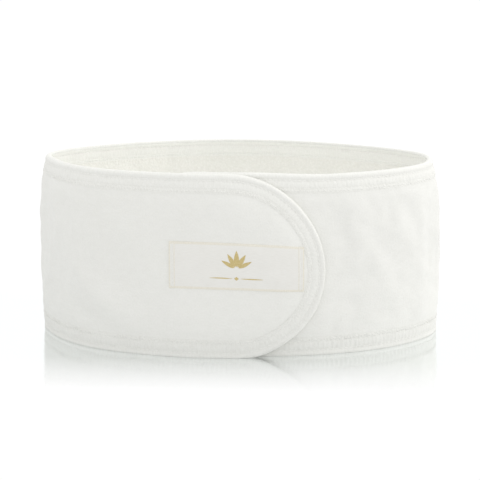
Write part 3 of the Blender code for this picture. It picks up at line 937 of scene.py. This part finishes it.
# A hook's curl (to the side, out) and its radii, and a loop's radius.
HOOK_CURL = MM * np.array([(0, 0), (0.0, 0.28), (0.03, 0.48), (0.12, 0.62), (0.27, 0.64), (0.34, 0.52)])
HOOK_RADII = MM * np.array([0.13, 0.11, 0.10, 0.10, 0.09, 0.06])
LOOP_RADIUS = 0.06 * MM


def make_tape(name, area, side, look):
    along, height = np.meshgrid(np.linspace(*area, 60), np.linspace(TAPE_LOW, TAPE_HIGH, 34),
                                indexing="ij")
    return make_shell(name, along, height, side * TAPE_FACE, side * TAPE_BACK, [look], side)


def tape_field(area, pitch, rng):
    """Places of a staggered field of hooks or loops, each a column of its own."""
    near, far = TAPE_BORDER
    columns = np.arange(area[0] + near, area[1] - far, pitch)
    rows = np.arange(TAPE_LOW + near, TAPE_HIGH - far, pitch)
    along, height = np.meshgrid(columns, rows, indexing="ij")
    height = height + (np.arange(len(columns)) % 2)[:, None] * pitch / 2
    jitter = rng.normal(0, 0.12 * pitch, (2,) + along.shape)
    return (along + jitter[0]).reshape(-1, 1), (height + jitter[1]).reshape(-1, 1)


def make_hooks():
    """Rows of small nylon hooks that stand on the hook tape and curl over at the tip."""
    rng = np.random.default_rng(61)
    along, height = tape_field(HOOK_AREA, HOOK_PITCH, rng)
    lean = np.where(rng.random(along.shape) < 0.5, 1.0, -1.0)
    along = along + lean * HOOK_CURL[:, 0]
    height = height + 0 * along
    centres = surface(along, height, -(HOOK_FOOT + HOOK_CURL[:, 1]))
    row = (centres, np.zeros_like(centres) + (0, 0, 1), pairs(along, height))
    return make_strands("hook_tape_hooks", [row], HOOK_RADII, 5, "hook_tape")


def make_loops():
    """Soft nylon loops that stand out of the loop tape in all directions."""
    rng = np.random.default_rng(71)
    along, height = tape_field(LOOP_AREA, LOOP_PITCH, rng)
    angle = rng.uniform(0, 2 * math.pi, along.shape)
    spread = (ALONG_STITCH - 0.5) * 1.5 * MM
    rise = ARCH * 0.55 * MM * rng.uniform(0.6, 1.0, along.shape)
    row = strands(along + np.cos(angle) * spread, height + np.sin(angle) * spread, LOOP_FOOT + rise, 1)
    return make_strands("loop_tape_loops", [row], np.full(6, LOOP_RADIUS), 4, "loop_tape")


def make_tape_stitches(name, area, side, seed):
    """A square of stitches just inside the tape's edge."""
    left, right = area[0] + TAPE_ROW, area[1] - TAPE_ROW
    low, high = TAPE_LOW + TAPE_ROW, TAPE_HIGH - TAPE_ROW
    corners = [(left, low), (right, low), (right, high), (left, high), (left, low)]
    rng = np.random.default_rng(seed)
    along, height = [], []
    for (a0, h0), (a1, h1) in zip(corners, corners[1:]):
        count = int(math.hypot(a1 - a0, h1 - h0) / TAPE_PITCH)
        middle = (np.arange(count)[:, None] + 0.5) / count
        share = middle + np.linspace(-HALF_STITCH, HALF_STITCH, 6) / count
        wander = rng.normal(0, WANDER, (count, 1))
        along.append(mix(a0, a1, share) + wander * (h1 != h0))
        height.append(mix(h0, h1, share) + wander * (a1 != a0))
    row = strands(np.concatenate(along), np.concatenate(height), side * (TAPE_FACE + TAPE_STITCH), side)
    return make_strands(name, [row], TAPE_THREAD * TAPER)


# ---- bodies ----
# Half the line between one body and the next, handed to bend().
OPEN_LINE = Vector((-0.94, 0.34, 0.0)).normalized() * 0.022
PEEL_LINE = Vector((0.877, -0.481, 0.0)).normalized() * 0.021
ROUTE_STEP = 2 * MM


def bend(piece, bodies, hinge, line):
    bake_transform(piece)


def place_cloth(suffix, start, end, bending, faces, edges, seed):
    """One length of the cover, lining, binding and stitch rows; faces and edges are the CAD's lengths."""
    route = edge_route(start, end, ROUTE_STEP)
    cover = make_cloth("velour_cover_" + suffix, start, end, 1, "velour", seed)
    lining = make_cloth("terry_lining_" + suffix, start, end, -1, "terry", seed + 2)
    edging = make_binding("hem_binding_" + suffix, start, end, seed + 4)
    rim, hem = make_hem_threads(suffix, route, seed + 6)
    for piece, slot, node, parts in (
            (cover, "velour", "outer_cover_", faces), (lining, "terry", "lining_", faces),
            (edging, "binding", "edge_binding_", edges), (rim, "thread", "rim_stitching_", edges),
            (hem, "thread", "hem_stitching_", edges)):
        bend(piece, *bending)
        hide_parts(*(node + part for part in parts))


def stand_for(piece, body, slot, *nodes):
    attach(piece, body)
    if nodes:
        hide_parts(*nodes)


def place_tapes():
    """Each tape with its hooks or loops, and its stitches."""
    tapes = (("hook_tape", "flap", HOOK_AREA, -1, 81), ("loop_tape", "root", LOOP_AREA, 1, 82))
    tips = make_hooks(), make_loops()
    bases = [make_tape(name + "_base", area, side, name) for name, _, area, side, _ in tapes]
    threads = [make_tape_stitches(name + "_stitches", *where) for name, _, *where in tapes]
    for (name, body, area, *_), tip, base, stitches in zip(tapes, tips, bases, threads):
        stand_for(base, body, name, name)
        stand_for(tip, body, name)
        stand_for(stitches, body, "thread", name + "_stitching")


def place_label():
    ribbon = make_label()
    left = make_label_stitches("label_stitches_left", LABEL_LEFT + LABEL_ROW, 91)
    right = make_label_stitches("label_stitches_right", LABEL_RIGHT - LABEL_ROW, 92)
    motif = print_sheet("gold_water_lily", [petal(*shape) for shape in PETALS], MOTIF_HEIGHT)
    rule = print_sheet("gold_rule", [bar(centre) for centre in RULE_CENTRES] + [DIAMOND], RULE_HEIGHT)
    for piece, slot, node in (
            (ribbon, "satin", "label_ribbon"), (left, "thread", "label_stitching_left"),
            (right, "thread", "label_stitching_right"), (motif, "gold_print", "label_motif"),
            (rule, "gold_print", "label_rule")):
        stand_for(piece, "flap", slot, node)


# ---- studio ----
ROOM_LIGHT = 1.03  # the white room and the lit floor
INSIDE_FLOOR_GLOW = 1.80  # a painted pool of light: inside the band the floor glows this bright, brighter than the room
INSIDE_FADE = (0.45, 0.88)  # where that ends, as shares of the loop's half sizes
FLOOR_HALF = 6.0
FLOOR_HEIGHT = -0.05 * MM
POLISH = 0.93  # how much of the floor is mirror beside the band
MIRROR_NEAR, MIRROR_FAR = 66 * MM, 122 * MM  # where that fades out in front
MIRROR_SIDE = 0.24  # and at the sides
BAND_MIDDLE, BAND_TOP = (0.0, 0.0, 0.045), (0.0, 0.0, 0.09)
CAMERA_PLACE = (0.0462, -0.8627, 0.2181)
CAMERA_DOWN_DEG, CAMERA_LEFT_DEG = 11.26, 3.01


def make_floor():
    """A lit white floor with a polished patch round the band that fades a few centimetres out; inside the
    band the floor glows brighter, a painted pool of light.
    """
    corners = FLOOR_HALF * np.array([(-1, -1, 0), (1, -1, 0), (1, 1, 0), (-1, 1, 0)])
    floor = plain_mesh("studio_floor", corners, [(0, 1, 2, 3)])
    floor.location.z = FLOOR_HEIGHT
    look = Nodes("studio_floor")
    look.tree.nodes.remove(look.tree.nodes["Principled BSDF"])
    place = look.node("ShaderNodeNewGeometry").outputs["Position"]

    def ring_distance(across, back, centre):
        """Distance from the band's middle in an ellipse's own measure."""
        scaled = look.node("ShaderNodeMapping", Vector=place, Scale=(1 / across, 1 / back, 0.0),
                           Location=(0.0, -centre / back, 0.0))
        length = look.node("ShaderNodeVectorMath")
        length.operation = "LENGTH"
        return look.feed(length, {0: scaled.outputs["Vector"]}).outputs["Value"]

    def fade(value, low, high, at_low, at_high, kind="SMOOTHSTEP"):
        node = look.node("ShaderNodeMapRange")
        node.interpolation_type = kind
        return look.feed(node, {"Value": value, "From Min": low, "From Max": high,
                                "To Min": at_low, "To Max": at_high}).outputs["Result"]

    inside = ring_distance(HALF_WIDTH, HALF_DEPTH, FRAME_SHIFT)
    polish = fade(ring_distance(5.0, 1.0, 0.0), MIRROR_NEAR, MIRROR_FAR, POLISH, 0.0, "LINEAR")
    outside = fade(inside, *INSIDE_FADE, 0.0, 1.0)
    beside = fade(ring_distance(1.0, 100.0, 0.0), 0.6 * MIRROR_SIDE, MIRROR_SIDE, 1.0, 0.0)
    share = look.math("MULTIPLY", look.math("MULTIPLY", polish, outside), beside)
    # Painted pool of light: inside the band the floor glows brighter than the room.
    lit = look.node("ShaderNodeEmission", Strength=fade(inside, *INSIDE_FADE, INSIDE_FLOOR_GLOW, ROOM_LIGHT))
    mirror = look.node("ShaderNodeBsdfGlossy", Color=(0.965, 0.985, 0.985, 1.0), Roughness=0.11)
    both = look.node("ShaderNodeMixShader", Fac=share)
    look.feed(both, {1: lit.outputs["Emission"], 2: mirror.outputs["BSDF"]})
    look.feed(look.tree.nodes["Material Output"], {"Surface": both.outputs["Shader"]})
    floor.data.materials.append(look.material)


def make_light(name, place, target, size, power, colour):
    """A square lamp that faces a point."""
    data = bpy.data.lights.new(name, "AREA")
    data.size = size
    data.energy = power
    data.color = colour
    lamp = add_object(name, data)
    lamp.location = place
    lamp.rotation_euler = (Vector(target) - Vector(place)).to_track_quat("-Z", "Y").to_euler()


def make_studio():
    make_floor()
    world = bpy.data.worlds.new("white_room")
    world.use_nodes = True
    background = world.node_tree.nodes["Background"]
    background.inputs["Color"].default_value = (1.0, 1.0, 1.0, 1.0)
    background.inputs["Strength"].default_value = ROOM_LIGHT
    scene.world = world
    scene.view_settings.view_transform = "Standard"
    make_light("key", (1.4, 0.12, 0.50), BAND_MIDDLE, 0.5, 4.0, (1.0, 0.978, 0.958))
    make_light("top", (0.15, 0.02, 1.25), BAND_TOP, 0.4, 2.6, (1.0, 1.0, 0.99))

    camera_data = bpy.data.cameras.new("camera")
    camera_data.lens = 128.2
    camera_data.sensor_width = 36.0
    camera = add_object("camera", camera_data)
    camera.location = CAMERA_PLACE
    camera.rotation_euler = (math.radians(90 - CAMERA_DOWN_DEG), 0.0, math.radians(CAMERA_LEFT_DEG))
    scene.camera = camera


make_studio()
place_cloth("back", 0.0, SEAM, (("root", "left_arm"), "band_open", OPEN_LINE),
            ("back", "left"), ("back", "left_top", "left_bottom"), 20)
place_cloth("front", SEAM, LENGTH, (("left_arm", "flap"), "flap_peel", PEEL_LINE),
            ("flap",), ("flap",), 30)
place_tapes()
place_label()
